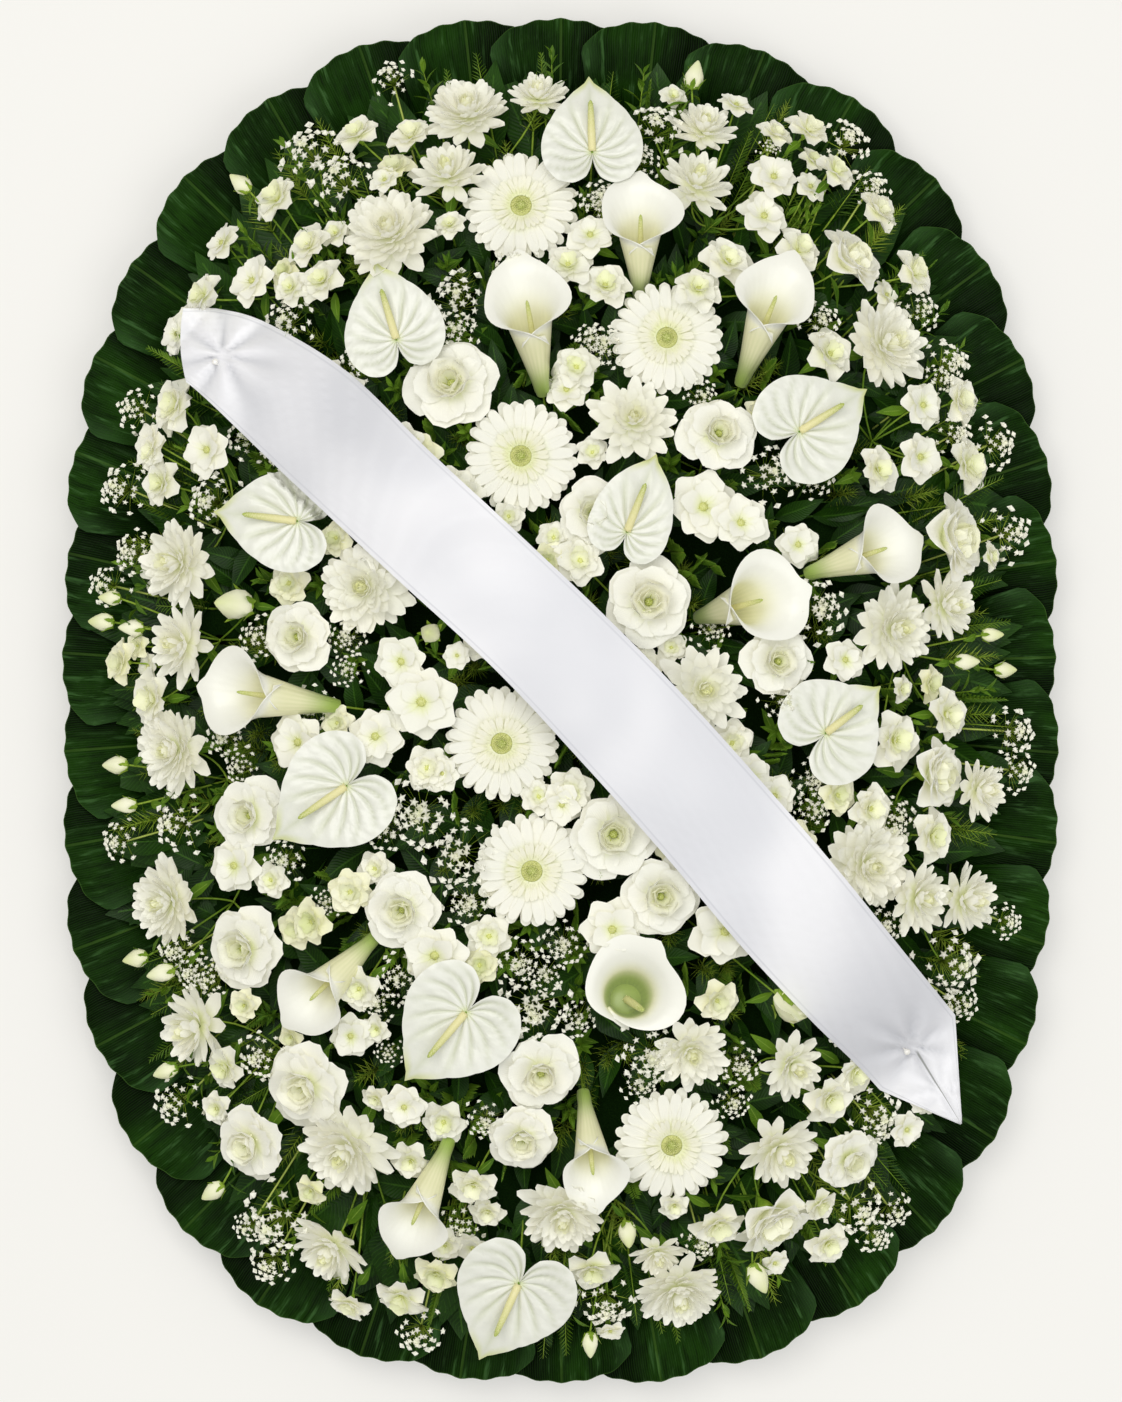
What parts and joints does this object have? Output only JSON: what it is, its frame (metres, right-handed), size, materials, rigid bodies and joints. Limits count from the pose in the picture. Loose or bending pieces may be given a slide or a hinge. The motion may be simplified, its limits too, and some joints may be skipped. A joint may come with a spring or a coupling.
{
  "type": "memorial wreath",
  "caption": "Solid oval funeral wreath of white blooms in a foam tray, with a rim of broad pleated leaves and a plain satin ribbon pinned diagonally across it.",
  "frame": {"origin": "centre of the tray's flat underside, which is the resting face", "axes": "+Z away from the surface that it lies on, through the blooms; +Y towards the top of the oval as it is shown; +X to the right"},
  "size_m": [0.9984, 1.3685, 0.2399],
  "materials": {
    "tray": "dark green moulded plastic",
    "foam": "matte green floral foam",
    "ribbon_satin": "white satin with a soft sheen",
    "pin_steel": "polished steel with a pearl head",
    "rim_leaf": "glossy dark green leaf",
    "white_petals": "soft white petals with green stems and leaves"
  },
  "bodies": {
    "root": {"tray": "tray", "foam": "foam", "ribbon": "ribbon_satin", "ribbon_pin_upper": "pin_steel", "ribbon_pin_lower": "pin_steel", "leaf_garland_1": "rim_leaf", "leaf_garland_2": "rim_leaf", "leaf_garland_3": "rim_leaf", "leaf_garland_4": "rim_leaf", "leaf_garland_5": "rim_leaf", "leaf_garland_6": "rim_leaf", "anthurium_1": "white_petals", "anthurium_2": "white_petals", "anthurium_3": "white_petals", "anthurium_4": "white_petals", "anthurium_5": "white_petals", "anthurium_6": "white_petals", "anthurium_7": "white_petals", "anthurium_8": "white_petals", "anthurium_9": "white_petals", "calla_1": "white_petals", "calla_2": "white_petals", "calla_3": "white_petals", "calla_4": "white_petals", "calla_5": "white_petals", "calla_6": "white_petals", "calla_7": "white_petals", "calla_8": "white_petals", "calla_9": "white_petals", "calla_10": "white_petals", "gerbera_1": "white_petals", "gerbera_2": "white_petals", "gerbera_3": "white_petals", "gerbera_4": "white_petals", "gerbera_5": "white_petals", "gerbera_6": "white_petals", "spray_top_left": "white_petals", "spray_upper_left": "white_petals", "spray_top_right": "white_petals", "spray_upper_right": "white_petals", "spray_top_centre": "white_petals", "spray_right_shoulder": "white_petals", "spray_right": "white_petals", "spray_right_low": "white_petals", "spray_left_shoulder": "white_petals", "spray_left": "white_petals", "spray_left_low": "white_petals", "spray_left_foot": "white_petals", "spray_lower_left": "white_petals", "spray_bottom_left": "white_petals", "spray_bottom": "white_petals", "spray_bottom_right": "white_petals", "spray_lower_right": "white_petals", "spray_lower_centre": "white_petals", "spray_centre_low": "white_petals", "spray_centre_low_left": "white_petals", "spray_centre_left": "white_petals", "spray_centre": "white_petals", "spray_centre_right": "white_petals", "spray_centre_top_left": "white_petals"}
  },
  "joints": []
}
